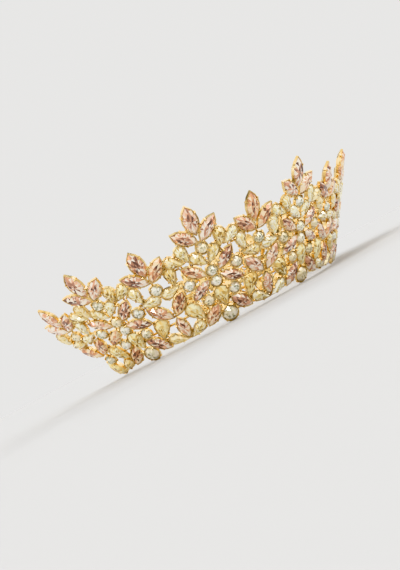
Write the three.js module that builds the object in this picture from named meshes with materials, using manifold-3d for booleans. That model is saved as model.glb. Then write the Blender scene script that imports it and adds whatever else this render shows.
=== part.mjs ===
// Bridal crown: an open, flared circlet of stone settings soldered edge to edge.
//
// Leaf sprays of three marquise stones stand round the top, short and tall in turn, and the lattice of
// settings below them repeats, mirrored, between each short spray and the next tall one. The crown stands
// on its rim, flat on z = 0, with +Z up, its middle towards -Y and its open back towards +Y.
import * as THREE from 'three';
import { mergeVertices } from 'three/addons/utils/BufferGeometryUtils.js';
import Module from 'manifold-3d';

const wasm = await Module();
wasm.setup();

// ---- Driving dimensions, in millimetres and radians
const SPRAYS = 15; // short at both ends and at every odd place, tall at every even place
const MIDDLE = (SPRAYS + 1) / 2; // the spray at the crown's front
const PITCH = THREE.MathUtils.degToRad(16.24); // from one spray to the next round the crown
const RIM_RADIUS = 73; // of the line of stones at the rim
const FLARE = THREE.MathUtils.degToRad(33.4); // lean of the wall, outwards from upright
const RIM_HEIGHT = 3; // of the rim line over what the crown stands on

const WALL = 0.6; // metal round a stone, seen from the front
const LIP = 0.45; // top of a cup over the stone's widest line
const CUP_DEPTH = 2.3; // bottom of a cup below that line
const SEAT_DEPTH = 1.4; // floor of an open cup below the stone's widest line
const BLANK = 1; // height that a cup's blank has to spare above and below
const PLATE_REACH = { down: 15, up: 65 }; // of the plates that cut the blanks, from the rim line
const FLOOR_BLOCK = { side: 400, height: 20 }; // what the crown is filed flat against
const GAP = 0.3; // between a stone and its cup
const CROWN_HEIGHT = 1.5; // of a cut stone above its widest line
const TABLE = 0.56; // width of its flat top against the whole stone
const CULET = 0.45; // width of its flat underside against the whole stone

const STRIP = 1; // thickness of the base strip that runs on edge from cup to cup, as deep as they are
const STRIP_LEVEL = 8; // its height up the wall from the rim line
const STRIP_END = 0.2; // how far it reaches past the end sprays, against the pitch

// ---- Stone cuts: outline, length and width
const CUTS = {
  leaf: { outline: marquise, length: 13.2, width: 6.4 },
  side: { outline: marquise, length: 12.2, width: 5.8 },
  arm: { outline: marquise, length: 11.4, width: 5.2 },
  drop: { outline: pear, length: 8.6, width: 5 },
  rimDrop: { outline: pear, length: 9.4, width: 5 },
  bigDrop: { outline: pear, length: 10.8, width: 6.6 },
  round: { outline: circle, length: 5.3, width: 5.3 },
  rimRound: { outline: circle, length: 7.4, width: 7.4 },
};

// ---- Chart of the lattice. across is the share of the way from a tall spray to the next short one,
// up is the distance up the wall from the rim line in millimetres, and turn is the direction in which a
// marquise's tip or a pear's round head points, in degrees from straight up, away from the tall spray.
const ON_TALL = [
  { name: 'tall_leaf', cut: 'leaf', up: 48.9, turn: 0, own: true },
  { name: 'tall_eye', cut: 'round', up: 35.9, turn: 0 },
  { name: 'hub_high', cut: 'round', up: 24.3, turn: 0 },
  { name: 'hub_low', cut: 'round', up: 18.8, turn: 0 },
  { name: 'heart_drop', cut: 'bigDrop', up: 10.5, turn: 0, own: true },
  { name: 'rim_round', cut: 'rimRound', up: 0.7, turn: 0, own: true },
];
const ON_SHORT = [
  { name: 'short_leaf', cut: 'leaf', up: 42.7, turn: 0, own: true },
  { name: 'short_eye', cut: 'round', up: 28.3, turn: 0 },
];
const FOOT = { name: 'foot_leaf', cut: 'arm', up: 5.5, turn: 0, own: true };
const END_ROUND = { name: 'end_round', cut: 'round', up: 8.4, turn: 0 };
const BETWEEN = [
  { name: 'tall_side_leaf', cut: 'side', across: 0.195, up: 43.1, turn: 48 },
  { name: 'tall_fork', cut: 'drop', across: 0.125, up: 31.5, turn: 40 },
  { name: 'tall_guard', cut: 'drop', across: 0.32, up: 37, turn: 14 },
  { name: 'valley_drop', cut: 'drop', across: 0.505, up: 35.7, turn: 58 },
  { name: 'arm_up', cut: 'arm', across: 0.3, up: 27.3, turn: 48 },
  { name: 'arm_down', cut: 'arm', across: 0.32, up: 17.9, turn: 123 },
  { name: 'mid_round', cut: 'round', across: 0.47, up: 22.8, turn: 0 },
  { name: 'heart_round', cut: 'round', across: 0.28, up: 11.7, turn: 0 },
  { name: 'rim_leaf', cut: 'side', across: 0.33, up: 3.9, turn: -42 },
];
const BESIDE_SHORT = [
  { name: 'short_side_leaf', cut: 'side', across: 0.81, up: 36.8, turn: -46 },
  { name: 'short_guard', cut: 'drop', across: 0.66, up: 30.5, turn: -6 },
  { name: 'short_fork', cut: 'drop', across: 0.795, up: 24.5, turn: 98 },
  { name: 'short_arm', cut: 'side', across: 0.795, up: 17.3, turn: -38 },
];
const LOW_BESIDE_SHORT = [
  { name: 'side_drop', cut: 'bigDrop', across: 0.61, up: 9.4, turn: 24 },
  { name: 'rim_drop', cut: 'rimDrop', across: 0.775, up: 1.1, turn: -62 },
];
const END_DROP = { name: 'end_drop', cut: 'bigDrop', across: 0.85, up: 2.8, turn: 172, own: true };

// ---- Outlines, as corners going anticlockwise seen from the front, with a margin all round. The fewer the
// corners, the further out they stand, so that the straight sides still go round the whole stone: spread
// divided by their number is the share. tipMargin is the margin at a point against the one at the sides.
const MARQUISE = { spread: 0.5, tipMargin: 1.6 };
const PEAR = {
  spread: 0.6,
  tipMargin: 1.4,
  headStart: Math.PI / 12, // angle over the middle of the round head at which its first corner stands
  flank: 0.68, // width half way down to the point, against the head
};

// Two arcs that meet in points above and below.
function marquise({ length, width }, margin, corners) {
  const half = {
    x: (width / 2 + margin) * (1 + MARQUISE.spread / corners),
    y: length / 2 + margin * MARQUISE.tipMargin,
  };
  const arcRadius = (half.y ** 2 + half.x ** 2) / (2 * half.x);
  const steps = corners / 2;
  const side = (sign) => Array.from({ length: steps }, (_, i) => {
    const y = half.y * (1 - (2 * i) / steps);
    const x = Math.sqrt(arcRadius ** 2 - y ** 2) - (arcRadius - half.x);
    return new THREE.Vector2(-sign * x, sign * y);
  });
  return [...side(1), ...side(-1)];
}

// A round head above and a point below, with a full flank between them.
function pear({ length, width }, margin, corners) {
  const radius = (width / 2 + margin) * (1 + PEAR.spread / corners);
  const headCentre = (length - width) / 2;
  const tip = -length / 2 - margin * PEAR.tipMargin;
  const headSteps = corners - 3;
  const head = Array.from({ length: headSteps }, (_, i) => {
    const angle = PEAR.headStart + ((Math.PI - 2 * PEAR.headStart) * i) / (headSteps - 1);
    return new THREE.Vector2(radius * Math.cos(angle), headCentre + radius * Math.sin(angle));
  });
  const flank = { x: radius * PEAR.flank, y: (headCentre + tip) / 2 };
  return [
    ...head, new THREE.Vector2(-flank.x, flank.y), new THREE.Vector2(0, tip),
    new THREE.Vector2(flank.x, flank.y),
  ];
}

function circle({ width }, margin, corners) {
  const radius = (width / 2 + margin) / Math.cos(Math.PI / corners);
  return Array.from({ length: corners }, (_, i) => {
    const angle = (2 * Math.PI * (i + 0.5)) / corners;
    return new THREE.Vector2(Math.cos(angle), Math.sin(angle)).multiplyScalar(radius);
  });
}

// ---- Solids

// A closed body through level outlines of equal corner count, each {outline, scale, z}, lowest first.
function stack(levels) {
  const corners = levels[0].outline.length;
  const positions = levels.flatMap(({ outline, scale, z }) => (
    outline.flatMap(({ x, y }) => [x * scale, y * scale, z])
  ));
  const top = (levels.length - 1) * corners;
  const cap = THREE.ShapeUtils.triangulateShape(levels[0].outline, []);
  const faces = cap.flatMap(([a, b, c]) => [a, c, b, top + a, top + b, top + c]);
  for (let level = 0; level < levels.length - 1; level += 1) {
    for (let i = 0; i < corners; i += 1) {
      const next = (i + 1) % corners;
      const low = level * corners;
      const high = low + corners;
      faces.push(low + i, low + next, high + next, low + i, high + next, high + i);
    }
  }
  const geometry = new THREE.BufferGeometry();
  geometry.setAttribute('position', new THREE.Float32BufferAttribute(positions, 3));
  geometry.setIndex(faces);
  return geometry;
}

// A cup is a blank until the whole sheet of cups is cut down to one level above and below.
function cupSolid(cut, corners) {
  const outline = cut.outline(cut, WALL, corners);
  return stack([
    { outline, scale: 1, z: -CUP_DEPTH - BLANK },
    { outline, scale: 1, z: LIP + BLANK },
  ]);
}

function seatSolid(cut, corners) {
  const outline = cut.outline(cut, GAP, corners);
  return stack([
    { outline, scale: 1, z: -SEAT_DEPTH },
    { outline, scale: 1, z: LIP + CROWN_HEIGHT },
  ]);
}

function stoneSolid(cut, corners) {
  const outline = cut.outline(cut, 0, corners);
  return stack([
    { outline, scale: CULET, z: GAP - SEAT_DEPTH },
    { outline, scale: 1, z: 0 },
    { outline, scale: TABLE, z: CROWN_HEIGHT },
  ]);
}

// A band along the sheet through the given sprays, from one distance up the wall to another.
function bandSolid(sprays, [from, to], [bottom, top]) {
  const edge = (up) => sprays.map((spray) => {
    const { x, y } = new THREE.Vector3().applyMatrix4(onSheet(spray, up, 0));
    return new THREE.Vector2(x, y);
  });
  const outline = [...edge(from), ...edge(to).reverse()];
  return stack([
    { outline, scale: 1, z: bottom },
    { outline, scale: 1, z: top },
  ]);
}

// The base strip: straight lengths of flat wire on edge, one for each half pitch.
function stripSolid() {
  const halves = Array.from({ length: 2 * SPRAYS - 1 }, (_, i) => 1 + i / 2);
  const sprays = [1 - STRIP_END, ...halves, SPRAYS + STRIP_END];
  const levels = [STRIP_LEVEL - STRIP / 2, STRIP_LEVEL + STRIP / 2];
  return bandSolid(sprays, levels, [-CUP_DEPTH - BLANK, LIP + BLANK]);
}

// The plates side by side that cut the sheet of cups down to its depth, one from each spray to the next. The
// first and the last reach past the end sprays, and all of them past the cups above and below.
function plateSolids() {
  return Array.from({ length: SPRAYS + 1 }, (_, spray) => (
    bandSolid([spray, spray + 1], [-PLATE_REACH.down, PLATE_REACH.up], [-CUP_DEPTH, LIP])
  ));
}

// ---- Places on the wall

// The wall is a cone, so its lattice is laid out on the flat sheet that rolls up into it. Sheet and wall
// share the distance up from the rim line, and the sheet's arcs centre on the cone's point.
const APEX_TO_RIM = RIM_RADIUS / Math.sin(FLARE);

function onSheet(spray, up, turn) {
  const angle = (spray - MIDDLE) * PITCH * Math.sin(FLARE);
  const place = new THREE.Matrix4().makeRotationZ(-angle);
  place.multiply(new THREE.Matrix4().makeTranslation(0, APEX_TO_RIM + up, 0));
  return place.multiply(new THREE.Matrix4().makeRotationZ(-THREE.MathUtils.degToRad(turn)));
}

// Rolls a solid from the sheet up into the wall.
function rolled(geometry) {
  const position = geometry.attributes.position;
  const point = new THREE.Vector3();
  for (let i = 0; i < position.count; i += 1) {
    point.fromBufferAttribute(position, i);
    const fromApex = Math.hypot(point.x, point.y);
    const spray = MIDDLE + Math.atan2(point.x, point.y) / (PITCH * Math.sin(FLARE));
    const wall = onWall(spray, fromApex - APEX_TO_RIM, 0);
    point.set(0, 0, point.z).applyMatrix4(wall);
    position.setXYZ(i, point.x, point.y, point.z);
  }
  return geometry;
}

// On the wall local X runs round the crown, local Y up the wall and local Z out of its face.
function onWall(spray, up, turn) {
  const angle = (spray - MIDDLE) * PITCH;
  const outwards = new THREE.Vector3(Math.sin(angle), -Math.cos(angle), 0);
  const round = new THREE.Vector3(Math.cos(angle), Math.sin(angle), 0);
  const upwards = outwards.clone().multiplyScalar(Math.sin(FLARE)).setZ(Math.cos(FLARE));
  const face = new THREE.Vector3().crossVectors(round, upwards);
  const radius = RIM_RADIUS + up * Math.sin(FLARE);
  const centre = outwards.multiplyScalar(radius).setZ(RIM_HEIGHT + up * Math.cos(FLARE));
  const place = new THREE.Matrix4().makeBasis(round, upwards, face).setPosition(centre);
  return place.multiply(new THREE.Matrix4().makeRotationZ(-THREE.MathUtils.degToRad(turn)));
}

// Every setting of the crown: its chart row, where it stands round the crown and which way it turns there.
function settings() {
  const all = [];
  const add = (row, tall, side) => {
    const spray = tall + side * (row.across ?? 0);
    all.push({ ...row, spray, turn: side * row.turn });
  };
  for (let spray = 1; spray <= SPRAYS; spray += 1) {
    const isEnd = spray === 1 || spray === SPRAYS;
    if (spray % 2 === 0) {
      ON_TALL.forEach((row) => add(row, spray, 1));
      for (const side of [-1, 1]) {
        [...BETWEEN, ...BESIDE_SHORT, ...LOW_BESIDE_SHORT].forEach((row) => add(row, spray, side));
      }
    } else {
      [...ON_SHORT, isEnd ? END_ROUND : FOOT].forEach((row) => add(row, spray, 1));
    }
  }
  // Past each end spray the lattice goes on as the mirror image of its inner side, down to a corner drop.
  [...BESIDE_SHORT, END_DROP].forEach((row) => {
    add(row, 0, 1);
    add(row, SPRAYS + 1, -1);
  });
  return all;
}

// ---- Joining and cutting
function solidFrom(geometry) {
  const merged = mergeVertices(geometry, 1e-5);
  return new wasm.Manifold(new wasm.Mesh({
    numProp: 3,
    vertProperties: new Float32Array(merged.attributes.position.array),
    triVerts: new Uint32Array(merged.index.array),
  }));
}

function geometryFrom(solid) {
  const { vertProperties, triVerts } = solid.getMesh();
  const geometry = new THREE.BufferGeometry();
  geometry.setAttribute('position', new THREE.BufferAttribute(vertProperties, 3));
  geometry.setIndex(new THREE.BufferAttribute(triVerts, 1));
  return geometry;
}

// Joins neighbours first and then their unions, so that no single join is a large one.
function joined(solids) {
  if (solids.length === 1) return solids[0];
  const half = Math.ceil(solids.length / 2);
  return joined(solids.slice(0, half)).add(joined(solids.slice(half)));
}

const OPEN_CORNERS = { marquise: 6, pear: 7, circle: 8 };
const PLAIN_CORNERS = { marquise: 6, pear: 6, circle: 6 };
const cornersOf = ({ cut, own }) => (own ? OPEN_CORNERS : PLAIN_CORNERS)[CUTS[cut].outline.name];

function frameSolid(all) {
  const laid = (solid) => (setting) => {
    const place = onSheet(setting.spray, setting.up, setting.turn);
    return solidFrom(solid(CUTS[setting.cut], cornersOf(setting)).applyMatrix4(place));
  };
  const cups = all.map(laid(cupSolid));
  const seats = all.filter(({ own }) => own).map(laid(seatSolid));
  const blanks = joined([...cups, solidFrom(stripSolid())]);
  const sheet = blanks.intersect(joined(plateSolids().map(solidFrom))).subtract(joined(seats));
  // Filed flat underneath, so that the crown stands on the cups of its rim rounds.
  const { side, height } = FLOOR_BLOCK;
  const below = new THREE.BoxGeometry(side, side, height).translate(0, 0, -height / 2);
  below.deleteAttribute('normal').deleteAttribute('uv');
  return solidFrom(rolled(geometryFrom(sheet))).subtract(solidFrom(below));
}

// ---- The crown
const gold = () => new THREE.MeshStandardMaterial({ color: 0xd9a95a, roughness: 0.25, metalness: 1 });
const STONE_COLOURS = { marquise: 0xf0b69a, pear: 0xeedf92, circle: 0xe6ece0 };

const crown = new THREE.Group();
const all = settings().sort((a, b) => a.spray - b.spray);

const frame = new THREE.Mesh(geometryFrom(frameSolid(all)), gold());
frame.name = 'frame';
crown.add(frame);

all.filter((setting) => setting.own).forEach((setting) => {
  const cut = CUTS[setting.cut];
  const material = new THREE.MeshStandardMaterial({
    color: STONE_COLOURS[cut.outline.name], roughness: 0.08, metalness: 0.1,
  });
  const stone = new THREE.Mesh(stoneSolid(cut, cornersOf(setting)), material);
  stone.name = `${setting.name}_${Math.round(setting.spray)}`;
  stone.applyMatrix4(onWall(setting.spray, setting.up, setting.turn));
  crown.add(stone);
});

// The origin is under the middle of the crown's box.
const box = new THREE.Box3().setFromObject(crown);
crown.position.set(-(box.min.x + box.max.x) / 2, -(box.min.y + box.max.y) / 2, 0);

export default crown;
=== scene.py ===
"""Bridal crown: gold cups of marquise, pear and round cut glass, soldered into one flared wall."""
import math
import random

import bmesh
import bpy
from mathutils import Matrix, Vector


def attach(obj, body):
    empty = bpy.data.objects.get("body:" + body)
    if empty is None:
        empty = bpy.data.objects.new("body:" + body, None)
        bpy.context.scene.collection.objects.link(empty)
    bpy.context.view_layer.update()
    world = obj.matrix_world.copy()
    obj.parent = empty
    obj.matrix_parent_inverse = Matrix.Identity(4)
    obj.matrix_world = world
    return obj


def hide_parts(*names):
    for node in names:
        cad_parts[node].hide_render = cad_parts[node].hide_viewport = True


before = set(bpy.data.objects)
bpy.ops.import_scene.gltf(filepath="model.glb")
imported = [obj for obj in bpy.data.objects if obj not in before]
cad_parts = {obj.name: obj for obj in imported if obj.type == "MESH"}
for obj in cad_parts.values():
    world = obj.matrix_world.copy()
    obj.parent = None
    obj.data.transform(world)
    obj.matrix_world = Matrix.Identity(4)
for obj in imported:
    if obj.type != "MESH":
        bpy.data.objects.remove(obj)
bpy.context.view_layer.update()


# ---- The wall's layout
# Leaf sprays of three marquises stand round the top, short and tall in turn. The settings below them
# repeat, mirrored, between each short spray and the next tall one. The wall is a cone that leans outwards.
# Sizes are in millimetres up to where on_wall puts a setting in the scene, which is in metres.
MM = 0.001
SPRAYS = 15
MIDDLE = (SPRAYS + 1) / 2
PITCH = math.radians(16.24)
RIM_RADIUS, RIM_HEIGHT = 73, 3
FLARE = math.radians(33.4)
AXIS_Y = 28.456
APEX_TO_RIM = RIM_RADIUS / math.sin(FLARE)

# The shape, length and width of each cut.
CUTS = {
    "leaf": ("marquise", 13.2, 6.4),
    "side": ("marquise", 12.2, 5.8),
    "arm": ("marquise", 11.4, 5.2),
    "drop": ("pear", 8.6, 5.0),
    "rim_drop": ("pear", 9.4, 5.0),
    "big_drop": ("pear", 10.8, 6.6),
    "round": ("round", 5.3, 5.3),
    "rim_round": ("round", 7.4, 7.4),
}

# Name, cut, share of the way from a tall spray to the next short one, millimetres up the wall from the rim
# line, and degrees that a tip or a round head turns away from the tall spray.
ON_TALL = [
    ("tall_leaf", "leaf", 0, 48.9, 0),
    ("tall_eye", "round", 0, 35.9, 0),
    ("hub_high", "round", 0, 24.3, 0),
    ("hub_low", "round", 0, 18.8, 0),
    ("heart_drop", "big_drop", 0, 10.5, 0),
    ("rim_round", "rim_round", 0, 0.7, 0),
]
ON_SHORT = [
    ("short_leaf", "leaf", 0, 42.7, 0),
    ("short_eye", "round", 0, 28.3, 0),
]
FOOT = ("foot_leaf", "arm", 0, 5.5, 0)
END_ROUND = ("end_round", "round", 0, 8.4, 0)
BETWEEN = [
    ("tall_side_leaf", "side", 0.195, 43.1, 48),
    ("tall_fork", "drop", 0.125, 31.5, 40),
    ("tall_guard", "drop", 0.32, 37, 14),
    ("valley_drop", "drop", 0.505, 35.7, 58),
    ("arm_up", "arm", 0.3, 27.3, 48),
    ("arm_down", "arm", 0.32, 17.9, 123),
    ("mid_round", "round", 0.47, 22.8, 0),
    ("heart_round", "round", 0.28, 11.7, 0),
    ("rim_leaf", "side", 0.33, 3.9, -42),
]
BESIDE_SHORT = [
    ("short_side_leaf", "side", 0.81, 36.8, -46),
    ("short_guard", "drop", 0.66, 30.5, -6),
    ("short_fork", "drop", 0.795, 24.5, 98),
    ("short_arm", "side", 0.795, 17.3, -38),
]
LOW_BESIDE_SHORT = [
    ("side_drop", "big_drop", 0.61, 9.4, 24),
    ("rim_drop", "rim_drop", 0.775, 1.1, -62),
]
END_DROP = ("end_drop", "big_drop", 0.85, 2.8, 172)


def lattice():
    """Every setting, as (name, cut, spray, up, turn), from one end of the crown to the other."""
    rows = []
    for spray in range(1, SPRAYS + 1):
        if spray % 2 == 0:
            rows += [(row, spray, 1) for row in ON_TALL]
            beside = BETWEEN + BESIDE_SHORT + LOW_BESIDE_SHORT
            rows += [(row, spray, side) for side in (-1, 1) for row in beside]
        else:
            foot = END_ROUND if spray in (1, SPRAYS) else FOOT
            rows += [(row, spray, 1) for row in ON_SHORT + [foot]]
    for past_the_end, side in ((0, 1), (SPRAYS + 1, -1)):
        rows += [(row, past_the_end, side) for row in BESIDE_SHORT + [END_DROP]]
    placed = [(name, cut, spray + side * across, up, side * turn)
              for (name, cut, across, up, turn), spray, side in rows]
    return sorted(placed, key=lambda setting: (setting[2], setting[3]))


def on_wall(spray, up, turn):
    """Places a setting, modelled in millimetres round the origin with its face up, on the wall."""
    angle = (spray - MIDDLE) * PITCH
    outwards = Vector((math.sin(angle), -math.cos(angle), 0))
    along = Vector((math.cos(angle), math.sin(angle), 0))
    upwards = outwards * math.sin(FLARE) + Vector((0, 0, math.cos(FLARE)))
    centre = outwards * (RIM_RADIUS + up * math.sin(FLARE))
    centre += Vector((0, AXIS_Y, RIM_HEIGHT + up * math.cos(FLARE)))
    turned = Matrix((along, upwards, along.cross(upwards))).transposed().to_4x4()
    return (Matrix.Scale(MM, 4) @ Matrix.Translation(centre) @ turned
            @ Matrix.Rotation(-math.radians(turn), 4, "Z"))


SETTINGS = lattice()


# ---- Cups
# Each stone sits in a cup of thin gold-plated brass that narrows towards its closed back. Four claws are
# bent over the stone's edge. The cups are soldered to each other where they touch.

# How far round a pear's outline its flank goes, and how much it swells, as a share of the head's radius.
PEAR_FLANK, FLANK_SWELL = 0.42, 0.16

# Heights from the stone's widest line, which lies in the wall's surface.
LIP, SHOULDER, SEAT, BACK = 0.2, -0.9, -1.1, -2.3
WALL, TIP_WALL = 0.4, 0.52
ROOM = 0.02
SEAT_SHARE, BACK_SHARE = 0.56, 0.62
CORNERS = {"marquise": 12, "pear": 12, "round": 16}

# Where the claws stand round each outline, in degrees.
CLAWS = {
    "marquise": (38, 142, 218, 322),
    "pear": (28, 152, 232, 308),
    "round": (45, 135, 225, 315),
}
CLAW_RADIUS, CLAW_OUT = 0.42, 0.35
# Bends up a claw: the height, the step inwards, and the share of its width and depth that it keeps.
CLAW_BENDS = [(0.35, 0, (1, 1)), (0.72, 0.34, (0.85, 0.9)), (0.78, 0.42, (0.6, 0.6))]


def outline_point(cut, angle):
    """The point of a cut's outline for an angle on a circle. Tips and heads point up or down."""
    kind, length, width = CUTS[cut]
    across, along = math.cos(angle), math.sin(angle)
    if kind == "round":
        return Vector((across, along)) * width / 2
    if kind == "marquise":
        half, bow = length / 2, (length ** 2 + width ** 2) / (4 * width)
        y = half * math.asin(along) / (math.pi / 2)
        return Vector((math.copysign(math.sqrt(bow ** 2 - y ** 2) - bow + width / 2, across), y))
    # A pear: round above where its flanks touch the head, and nearly straight from there to the point.
    radius, head, tip = width / 2, (length - width) / 2, -length / 2
    touch = -math.asin(radius / (head - tip))
    share = (math.asin(along) / (math.pi / 2) + 1) / 2
    if share >= PEAR_FLANK:
        turned = touch + (math.pi / 2 - touch) * (share - PEAR_FLANK) / (1 - PEAR_FLANK)
        x, y = radius * math.cos(turned), head + radius * math.sin(turned)
    else:
        way = share / PEAR_FLANK
        x = radius * math.cos(touch) * way + FLANK_SWELL * radius * math.sin(math.pi * way)
        y = tip + (head + radius * math.sin(touch) - tip) * way
    return Vector((math.copysign(x, across), y))


def flat_outline(cut, corners):
    """A bmesh of one flat face, the cut's outline at the widest line of the stone."""
    bm = bmesh.new()
    bmesh.ops.create_circle(bm, cap_ends=True, segments=corners, radius=1)
    for vert in bm.verts:
        vert.co.xy = outline_point(cut, math.atan2(round(vert.co.y, 6), round(vert.co.x, 6)))
    bm.faces.ensure_lookup_table()
    return bm, bm.faces[0]


def level(bm, face, size, height):
    """Raises a face to a height on new walls and scales it by size, which is (across, along)."""
    made = bmesh.ops.extrude_face_region(bm, geom=[face, *face.edges])["geom"]
    top = next(item for item in made if isinstance(item, bmesh.types.BMFace))
    bmesh.ops.scale(bm, vec=(*size, 1), verts=top.verts)
    bmesh.ops.translate(bm, vec=(0, 0, height - top.verts[0].co.z), verts=top.verts)
    return top


def add_claw(bm, cut, degrees):
    """A four-sided wire up the outside of a cup, bent in over the stone's edge."""
    angle, nearby = math.radians(degrees), 0.05
    foot = outline_point(cut, angle)
    step = outline_point(cut, angle + nearby) - outline_point(cut, angle - nearby)
    inwards = Vector((-step.y, step.x)).normalized()
    wire = bmesh.new()
    bmesh.ops.create_circle(wire, cap_ends=True, segments=4, radius=CLAW_RADIUS)
    bmesh.ops.translate(wire, vec=(-CLAW_OUT, 0, SHOULDER), verts=wire.verts)
    wire.faces.ensure_lookup_table()
    tip = wire.faces[0]
    for height, shift, size in CLAW_BENDS:
        tip = level(wire, tip, size, height)
        bmesh.ops.translate(wire, vec=(shift, 0, 0), verts=tip.verts)
    turn = Matrix.Rotation(math.atan2(inwards.y, inwards.x), 4, "Z")
    bmesh.ops.transform(wire, matrix=Matrix.Translation((foot.x, foot.y, 0)) @ turn, verts=wire.verts)
    claw = bpy.data.meshes.new("claw")
    wire.to_mesh(claw)
    wire.free()
    bm.from_mesh(claw)
    bpy.data.meshes.remove(claw)


def cup_mesh(cut):
    """A cup with its claws: up its outside from the back to the lip, and down inside to the seat."""
    kind, length, width = CUTS[cut]
    bm, face = flat_outline(cut, CORNERS[kind])
    bmesh.ops.scale(bm, vec=(BACK_SHARE, BACK_SHARE, 1), verts=bm.verts)
    bmesh.ops.translate(bm, vec=(0, 0, BACK), verts=bm.verts)
    outer = Vector(((width + 2 * WALL) / width, (length + 2 * TIP_WALL) / length))
    inner = Vector(((width + 2 * ROOM) / width, (length + 2 * ROOM) / length))
    face = level(bm, face, outer / BACK_SHARE, SHOULDER)
    face = level(bm, face, (1, 1), LIP)
    face = level(bm, face, (inner.x / outer.x, inner.y / outer.y), LIP)
    face = level(bm, face, (1, 1), 0)
    level(bm, face, (SEAT_SHARE, SEAT_SHARE), SEAT)
    for degrees in CLAWS[kind]:
        add_claw(bm, cut, degrees)
    bmesh.ops.recalc_face_normals(bm, faces=bm.faces)
    mesh = bpy.data.meshes.new(cut)
    bm.to_mesh(mesh)
    bm.free()
    return mesh


class Shade:
    """A socket of a material's nodes. Sums, differences and products of it add their Math nodes."""

    def __init__(self, tree, socket=None):
        self.tree, self.socket = tree, socket

    def node(self, kind, settings, inputs, output=0):
        """Adds a node: first its settings, or a ramp's stops, then the values or links of its sockets."""
        made = self.tree.nodes.new(kind)
        for name, value in settings.items():
            if name == "stops":
                while len(made.color_ramp.elements) < len(value):
                    made.color_ramp.elements.new(1)
                for element, (position, color) in zip(made.color_ramp.elements, value):
                    element.position, element.color = position, (*color, 1)
            else:
                setattr(made, name, value)
        for name, value in inputs.items():
            if isinstance(value, Shade):
                self.tree.links.new(value.socket, made.inputs[name])
            else:
                made.inputs[name].default_value = value
        return Shade(self.tree, made.outputs[output])

    def math(self, operation, first, second):
        return self.node("ShaderNodeMath", {"operation": operation}, {0: first, 1: second})

    def __add__(self, other):
        return self.math("ADD", self, other)

    def __mul__(self, other):
        return self.math("MULTIPLY", self, other)

    def __sub__(self, other):
        return self.math("SUBTRACT", self, other)

    def __rsub__(self, other):
        return self.math("SUBTRACT", other, self)

    __radd__, __rmul__ = __add__, __mul__


def new_material(name):
    material = bpy.data.materials.new(name)
    material.use_nodes = True
    material.node_tree.nodes.clear()
    return material, Shade(material.node_tree)


def finish_material(material, shader):
    output = material.node_tree.nodes.new("ShaderNodeOutputMaterial")
    material.node_tree.links.new(shader.socket, output.inputs["Surface"])
    return material


def gold_plate():
    """Bright yellow gold plate, a little duller and redder in patches, over cast and soldered brass."""
    material, shade = new_material("gold_plate")
    where = shade.node("ShaderNodeTexCoord", {}, {}, "Object")
    patches = shade.node("ShaderNodeTexNoise", {}, {"Vector": where, "Scale": 220.0, "Detail": 3.0})
    grain = shade.node("ShaderNodeTexNoise", {}, {"Vector": where, "Scale": 2600.0, "Detail": 2.0})
    color = shade.node("ShaderNodeValToRGB", {"stops": [
        (0.3, (0.52, 0.33, 0.11)), (0.5, (0.82, 0.58, 0.24)), (0.7, (1.0, 0.8, 0.43)),
    ]}, {"Fac": patches})
    bump = shade.node("ShaderNodeBump", {}, {"Strength": 0.12, "Distance": 0.0001, "Height": grain})
    return finish_material(material, shade.node("ShaderNodeBsdfPrincipled", {}, {
        "Base Color": color, "Metallic": 1.0, "Roughness": 0.16 + patches * 0.16, "Normal": bump,
    }))


GOLD = gold_plate()


def add_piece(name, bm, material, smooth_below=None):
    """Makes a bmesh a finished piece of the crown. Edges that turn under smooth_below degrees are smooth."""
    mesh = bpy.data.meshes.new(name)
    bm.to_mesh(mesh)
    bm.free()
    mesh.materials.append(material)
    if smooth_below:
        mesh.shade_smooth()
        mesh.set_sharp_from_angle(angle=math.radians(smooth_below))
    else:
        mesh.shade_flat()
    piece = bpy.data.objects.new(name, mesh)
    bpy.context.scene.collection.objects.link(piece)
    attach(piece, "root")
    return piece


# Each setting leans a few degrees its own way, as hand soldering leaves it, and its stone leans with it.
LEAN = 2.2
hand = random.Random(21)
LEANS = [(hand.gauss(0, LEAN), hand.gauss(0, LEAN)) for _ in SETTINGS]


def put_in_place(bm, mesh, index):
    """Adds a copy of a cup or a stone to a bmesh, at its setting's place on the wall."""
    _, _, spray, up, turn = SETTINGS[index]
    lean_x, lean_y = (math.radians(lean) for lean in LEANS[index])
    place = on_wall(spray, up, turn) @ Matrix.Rotation(lean_x, 4, "X") @ Matrix.Rotation(lean_y, 4, "Y")
    placed = mesh.copy()
    placed.transform(place)
    bm.from_mesh(placed)
    bpy.data.meshes.remove(placed)


cup_of = {cut: cup_mesh(cut) for cut in CUTS}
cups = bmesh.new()
for index, (_, cut, *_) in enumerate(SETTINGS):
    put_in_place(cups, cup_of[cut], index)
# The lowest cups are filed flat underneath, and the crown stands on them.
filed = bmesh.ops.bisect_plane(
    cups, geom=cups.verts[:] + cups.edges[:] + cups.faces[:],
    plane_co=(0, 0, 0), plane_no=(0, 0, -1), clear_outer=True,
)
open_edges = [edge for edge in filed["geom_cut"] if isinstance(edge, bmesh.types.BMEdge)]
bmesh.ops.holes_fill(cups, edges=open_edges)
cups_piece = add_piece("cups", cups, GOLD, smooth_below=38)
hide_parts("frame")


# ---- Solder
# Where two cups stand close, a bead of solder or a short stub of wire bridges them behind their lips. Each
# pair's gap is measured on the flat sheet that rolls up into the wall.

# The widest gap that is bridged, and the furthest that two touching cups' middles can be apart.
REACH, NEARBY = 1.5, 14
EDGE_STEP = 15
BEAD_LEVEL, BEAD_RADIUS, BEAD_OVERLAP = SHOULDER - 0.25, 0.5, 0.75


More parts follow.
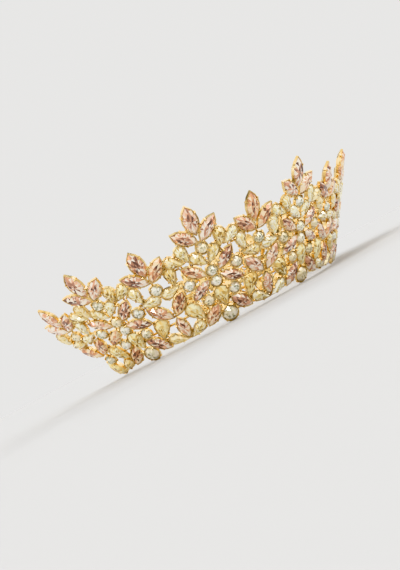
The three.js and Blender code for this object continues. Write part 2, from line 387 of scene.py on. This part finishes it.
def on_sheet(setting, degrees):
    """A point of a cup's outer edge on the flat sheet."""
    _, cut, spray, up, turn = setting
    turned = math.radians(turn)
    x, y = outline_point(cut, math.radians(degrees)) * (1 + 2 * WALL / CUTS[cut][2])
    x, y = x * math.cos(turned) + y * math.sin(turned), y * math.cos(turned) - x * math.sin(turned)
    angle = (spray - MIDDLE) * PITCH * math.sin(FLARE)
    y += APEX_TO_RIM + up
    return Vector((x * math.cos(angle) + y * math.sin(angle), y * math.cos(angle) - x * math.sin(angle)))


solder = bmesh.new()
edges = [[on_sheet(setting, degrees) for degrees in range(0, 360, EDGE_STEP)] for setting in SETTINGS]
middles = [sum(points, Vector((0, 0))) / len(points) for points in edges]
for index, points in enumerate(edges):
    for other in range(index + 1, len(edges)):
        if (middles[index] - middles[other]).length > NEARBY:
            continue
        gap, near, far = min(((a - b).length, a, b) for a in points for b in edges[other])
        if gap > REACH:
            continue
        joint = (near + far) / 2
        spray = MIDDLE + math.atan2(joint.x, joint.y) / (PITCH * math.sin(FLARE))
        way = math.degrees(math.atan2(far.x - near.x, far.y - near.y))
        turn = way - math.degrees((spray - MIDDLE) * PITCH * math.sin(FLARE))
        bead = bmesh.ops.create_icosphere(solder, subdivisions=1, radius=1)["verts"]
        stretch = Matrix.Diagonal((BEAD_RADIUS, BEAD_OVERLAP + gap / 2, BEAD_RADIUS, 1))
        shape = Matrix.Translation((0, 0, BEAD_LEVEL)) @ stretch
        place = on_wall(spray, joint.length - APEX_TO_RIM, turn)
        bmesh.ops.transform(solder, matrix=place @ shape, verts=bead)
solder_piece = add_piece("solder", solder, GOLD, smooth_below=80)
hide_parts("frame")


# ---- Base wire
# A round gold wire runs behind the cups above the rim, from one end of the crown to the other, and holds
# the wall's curve.

# Its way up the wall, the share of a pitch that it goes past the end sprays, and its thickness.
WIRE_LEVEL, WIRE_END, WIRE_THICKNESS = 8, 0.2, 1.1
WIRE_SIDES, WIRE_STEPS = 8, 96

wire_radius = RIM_RADIUS + WIRE_LEVEL * math.sin(FLARE) + BACK * math.cos(FLARE)
wire_height = RIM_HEIGHT + WIRE_LEVEL * math.cos(FLARE) - BACK * math.sin(FLARE)
first_angle = (1 - WIRE_END - MIDDLE) * PITCH
wire = bmesh.new()
bmesh.ops.create_circle(wire, cap_ends=True, segments=WIRE_SIDES, radius=WIRE_THICKNESS / 2)
start = (Matrix.Translation((0, AXIS_Y, 0)) @ Matrix.Rotation(first_angle, 4, "Z")
         @ Matrix.Translation((0, -wire_radius, wire_height)) @ Matrix.Rotation(math.radians(90), 4, "Y"))
bmesh.ops.transform(wire, matrix=start, verts=wire.verts)
bmesh.ops.spin(
    wire, geom=wire.faces[:] + wire.edges[:], cent=(0, AXIS_Y, 0), axis=(0, 0, 1), dvec=(0, 0, 0),
    angle=-2 * first_angle, steps=WIRE_STEPS, use_merge=False, use_duplicate=False,
)
bmesh.ops.recalc_face_normals(wire, faces=wire.faces)
bmesh.ops.scale(wire, vec=(MM, MM, MM), verts=wire.verts)
wire_piece = add_piece("base_wire", wire, GOLD, smooth_below=50)
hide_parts("frame")


# ---- Cut stones
# Foil-backed cut glass: a flat table, a ring of small facets down to the widest line, and a low back in the
# cup. Marquises are peach, pears pale yellow with deeper big ones, and rounds clear with a green cast. The
# light and shade of each facet is painted into its colour.
STONE_TOP, STONE_BACK = 1.5, -1.0
TABLE = {"marquise": (0.55, 0.65), "pear": (0.55, 0.65), "round": (0.55, 0.55)}
STAR, CULET = (0.5, 0.5), (0.5, 0.5)
FACET_RISE = 0.14
STONE_CORNERS = {"marquise": 12, "pear": 12, "round": 8}

# A facet is flat if its normal's z is at least FLAT. A flat one belongs to the star, in the middle of the
# table, if its centre is nearer the stone's than STAR_REACH times the width, and else to the table.
FLAT, STAR_REACH = 0.995, 0.25
# The painted light and shade of the facets of each part: the mean brightness, the painted shade that deepens
# from a marquise's lower tip to its upper one, the swing about the mean, the swings in one turn round the
# stone, where they start, and how far they shift in a millimetre of height.
PAINTED_LIGHT_OF_PART = {
    "star": (0.42, 1, 0.36, 4, 1.2, 0),
    "table": (0.42, 1, 0.36, 6, 0, 0),
    "side": (0.78, 1 / 3, 0.27, 9, -math.pi / 2, 5),
}
# Painted shade of the facets on the stone's back, down in the cup.
PAINTED_BACK_SHADE = 0.3
SLANT = Vector((1, 0.37, 0.71))
# How much brighter or darker the painted light of a whole stone may be, how widely that of its facets
# spreads, and the share of facets given a painted glint.
STONE_SPREAD, FACET_SPREAD, PAINTED_GLINT_SHARE = 0.22, 0.25, 0.17
# How much painted reflection of the gold round it a stone takes, and what each facet adds to that.
STONE_GOLD_REFLECTION, FACET_GOLD_REFLECTION = (-0.6, 0.9), (-0.1, 0.5)
# The tint that the painted reflection of the gold gives a stone's colours.
PAINTED_GOLD_REFLECTION = (1.0, 0.88, 0.66)


def painted_facet_light(kind, length, width, facet):
    """The painted light of a facet by where it is: 0 is painted shade and 1 a painted highlight. A
    marquise's facets take painted shade towards its upper tip.
    """
    if facet.normal.z <= 0:
        return PAINTED_BACK_SHADE
    centre = facet.calc_center_median()
    if facet.normal.z < FLAT:
        part = "side"
    else:
        part = "star" if centre.xy.length < STAR_REACH * width else "table"
    mean, tip_shade, swing, turns, start, climb = PAINTED_LIGHT_OF_PART[part]
    # A marquise gets painted shade towards its upper tip.
    if kind == "marquise":
        mean -= tip_shade * centre.y / length
    around = math.atan2(centre.y / length, centre.x / width)
    return mean + swing * math.cos(around * turns + start + centre.z * climb)


def stone_mesh(cut):
    """A cut stone and the painted light and shade of each of its facets."""
    kind, length, width = CUTS[cut]
    bm, face = flat_outline(cut, STONE_CORNERS[kind])
    under = set(bm.verts)
    table = level(bm, face, TABLE[kind], STONE_TOP)
    bmesh.ops.recalc_face_normals(bm, faces=bm.faces)
    sides = [side for side in bm.faces if abs(side.normal.z) < FLAT]
    bmesh.ops.poke(bm, faces=sides, offset=FACET_RISE)
    middle = level(bm, table, STAR, STONE_TOP)
    bmesh.ops.poke(bm, faces=[middle])
    bottom = next(side for side in bm.faces if len(side.verts) > 4 and under.issuperset(side.verts))
    level(bm, bottom, CULET, STONE_BACK)
    bmesh.ops.recalc_face_normals(bm, faces=bm.faces)
    # The operators leave the faces in no fixed order, and each face takes random draws of its own. No two of
    # them share a place along a slanting line, so sorted by it they get the same draws in every run.
    bm.faces.sort(key=lambda side: side.calc_center_median().dot(SLANT))
    bright = [painted_facet_light(kind, length, width, facet) for facet in bm.faces]
    mesh = bpy.data.meshes.new(cut)
    bm.to_mesh(mesh)
    bm.free()
    return mesh, bright


def cut_glass(name, stops):
    """Glass over foil, under a hard clear gloss: the reflections and shade that the facets throw at each
    other are painted in shades of one colour. Some facets carry a painted reflection of the gold round the
    stone."""
    material, shade = new_material(name)
    facet = shade.node("ShaderNodeAttribute", {"attribute_name": "facet"}, {}, "Color")
    bright = shade.node("ShaderNodeSeparateColor", {}, {"Color": facet}, "Red")
    gold_reflection = shade.node("ShaderNodeSeparateColor", {}, {"Color": facet}, "Green")
    gold_reflected_stops = []
    for position, color in stops:
        gold_reflected_stops.append((position, tuple(part * gold for part, gold in zip(color, PAINTED_GOLD_REFLECTION))))
    plain = shade.node("ShaderNodeValToRGB", {"stops": stops}, {"Fac": bright})
    gold_reflected = shade.node("ShaderNodeValToRGB", {"stops": gold_reflected_stops}, {"Fac": bright})
    color = shade.node("ShaderNodeMix", {"data_type": "RGBA"}, {0: gold_reflection, 6: plain, 7: gold_reflected}, 2)
    return finish_material(material, shade.node("ShaderNodeBsdfPrincipled", {}, {
        "Base Color": color, "Metallic": 0.45, "Roughness": 0.12 - bright * 0.06,
        "IOR": 1.5, "Coat Weight": 1.0, "Coat Roughness": 0.02, "Coat IOR": 1.5,
    }))


GLASS = {
    "marquise": cut_glass("peach_glass", [
        (0.0, (0.17, 0.08, 0.055)), (0.28, (0.5, 0.24, 0.15)),
        (0.68, (0.87, 0.48, 0.3)), (1.0, (1.0, 0.91, 0.78)),
    ]),
    "pear": cut_glass("yellow_glass", [
        (0.0, (0.36, 0.23, 0.06)), (0.25, (0.8, 0.6, 0.21)),
        (0.6, (0.95, 0.84, 0.44)), (1.0, (1.0, 0.99, 0.84)),
    ]),
    "big_drop": cut_glass("amber_glass", [
        (0.0, (0.32, 0.18, 0.03)), (0.25, (0.74, 0.48, 0.12)),
        (0.6, (0.95, 0.72, 0.28)), (1.0, (1.0, 0.95, 0.62)),
    ]),
    "round": cut_glass("clear_glass", [
        (0.0, (0.36, 0.36, 0.25)), (0.25, (0.62, 0.62, 0.46)),
        (0.6, (0.84, 0.83, 0.66)), (1.0, (1.0, 0.99, 0.92)),
    ]),
}
stone_of = {cut: stone_mesh(cut) for cut in CUTS}
# The draws for the stones' painted light, painted glints and painted reflections of the gold.
painted_light_draws = random.Random(5)


def set_stones(name, indices, glass):
    """Sets stones in their cups as one piece. Each stone's facets take their own painted light and shade,
    painted glints and painted reflection of the gold.
    """
    bm = bmesh.new()
    facet = bm.loops.layers.float_color.new("facet")
    for index in indices:
        mesh, bright = stone_of[SETTINGS[index][1]]
        first = len(bm.faces)
        put_in_place(bm, mesh, index)
        bm.faces.ensure_lookup_table()
        overall = painted_light_draws.uniform(-STONE_SPREAD, STONE_SPREAD)
        stone_gold_reflection = painted_light_draws.uniform(*STONE_GOLD_REFLECTION)
        for face, own in zip(bm.faces[first:], bright):
            # A share of the facets get a painted glint at full brightness.
            painted_glint = painted_light_draws.random() < PAINTED_GLINT_SHARE
            value = 1 if painted_glint else min(1, max(0, own + overall + painted_light_draws.gauss(0, FACET_SPREAD)))
            # Painted reflection of the gold round the stone.
            gold_reflection = min(1, max(0, stone_gold_reflection + painted_light_draws.uniform(*FACET_GOLD_REFLECTION)))
            for loop in face.loops:
                loop[facet] = (value, gold_reflection, 0, 1)
    return add_piece(name, bm, glass)


# The largest stones are pieces of their own. The small ones of each glass are one piece.
OWN_PIECES = {"tall_leaf", "short_leaf", "heart_drop", "rim_round", "foot_leaf", "end_drop"}
groups = {}
for index, (name, cut, spray, _, _) in enumerate(SETTINGS):
    kind = CUTS[cut][0]
    glass = "big_drop" if cut == "big_drop" else kind
    if name in OWN_PIECES:
        node = f"{name}_{math.floor(spray + 0.5)}"
        stone = set_stones(f"{node}_stone", [index], GLASS[glass])
        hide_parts(node)
    else:
        groups.setdefault(glass, []).append(index)
for glass, indices in groups.items():
    kind = CUTS[SETTINGS[indices[0]][1]][0]
    stones = set_stones(f"small_{glass}_stones", indices, GLASS[glass])
    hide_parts("frame")


# ---- Floor, light and camera
# A pale flat floor, soft light from pale walls and wide far lamps, and the camera close to the crown's
# side, low over the floor.
FLOOR_RADIUS, FLOOR_CORNERS = 30, 96

floor = bmesh.new()
bmesh.ops.create_circle(floor, cap_ends=True, segments=FLOOR_CORNERS, radius=FLOOR_RADIUS)
floor_mesh = bpy.data.meshes.new("floor")
floor.to_mesh(floor_mesh)
floor.free()
floor_material, shade = new_material("pale_floor")
floor_mesh.materials.append(finish_material(floor_material, shade.node("ShaderNodeBsdfPrincipled", {}, {
    "Base Color": (0.501, 0.498, 0.492, 1), "Roughness": 1.0, "Specular IOR Level": 0.0,
})))
floor_piece = bpy.data.objects.new("floor", floor_mesh)
bpy.context.scene.collection.objects.link(floor_piece)

# The studio's walls are as pale as the floor where they meet it, darker higher up, and bright overhead.
PALE_WALL, DARK_WALL, CEILING = (0.86, 0.855, 0.845), (0.15, 0.15, 0.155), (1.2, 1.2, 1.2)

world = bpy.data.worlds.new("studio")
bpy.context.scene.world = world
world.use_nodes = True
world.node_tree.nodes.clear()
shade = Shade(world.node_tree)
direction = shade.node("ShaderNodeTexCoord", {}, {}, "Generated")
height = shade.node("ShaderNodeSeparateXYZ", {}, {0: direction}, "Z")
walls = shade.node("ShaderNodeValToRGB", {"stops": [
    (0.0, PALE_WALL), (0.56, PALE_WALL), (0.64, DARK_WALL), (0.82, DARK_WALL), (0.9, CEILING),
]}, {"Fac": height})
light = shade.node("ShaderNodeBackground", {}, {"Color": walls, "Strength": 1.0})
output = world.node_tree.nodes.new("ShaderNodeOutputWorld")
world.node_tree.links.new(light.socket, output.inputs["Surface"])


def towards(azimuth, elevation):
    """The direction from the crown for two angles in degrees. Azimuth 0 is straight in front."""
    a, e = math.radians(azimuth), math.radians(elevation)
    return Vector((math.sin(a) * math.cos(e), -math.cos(a) * math.cos(e), math.sin(e)))


def add_sun(name, azimuth, elevation, spread, power):
    """A far light that looks spread degrees wide from the crown."""
    data = bpy.data.lights.new(name, "SUN")
    data.angle, data.energy = math.radians(spread), power
    sun = bpy.data.objects.new(name, data)
    bpy.context.scene.collection.objects.link(sun)
    sun.rotation_euler = towards(azimuth, elevation).to_track_quat("Z", "Y").to_euler()


add_sun("key_light", -110, 50, 24, 1.3)
add_sun("fill_light", -20, 35, 30, 0.7)
add_sun("back_light", 150, 45, 30, 0.6)
add_sun("side_light", 85, 35, 30, 0.6)
# Small bare lamps, whose sparks the facets throw back.
for number, (azimuth, elevation) in enumerate([(-75, 22), (-50, 60), (-140, 25), (30, 40), (90, 30)]):
    add_sun(f"spark_{number}", azimuth, elevation, 4, 0.4)

CENTRE = Vector((0, AXIS_Y, 24)) * MM
VIEW_SPRAY, VIEW_ELEVATION, VIEW_DISTANCE, VIEW_ROLL = 3.7, -2.5, 0.32, -28

lens = bpy.data.cameras.new("camera")
lens.lens = 35.1
lens.clip_start = 0.01
camera = bpy.data.objects.new("camera", lens)
bpy.context.scene.collection.objects.link(camera)
away = towards(math.degrees((VIEW_SPRAY - MIDDLE) * PITCH), VIEW_ELEVATION)
camera.location = CENTRE + away * VIEW_DISTANCE
facing = away.to_track_quat("Z", "Y").to_matrix().to_4x4()
camera.rotation_euler = (facing @ Matrix.Rotation(math.radians(VIEW_ROLL), 4, "Z")).to_euler()
bpy.context.scene.camera = camera
bpy.context.scene.view_settings.view_transform = "Khronos PBR Neutral"
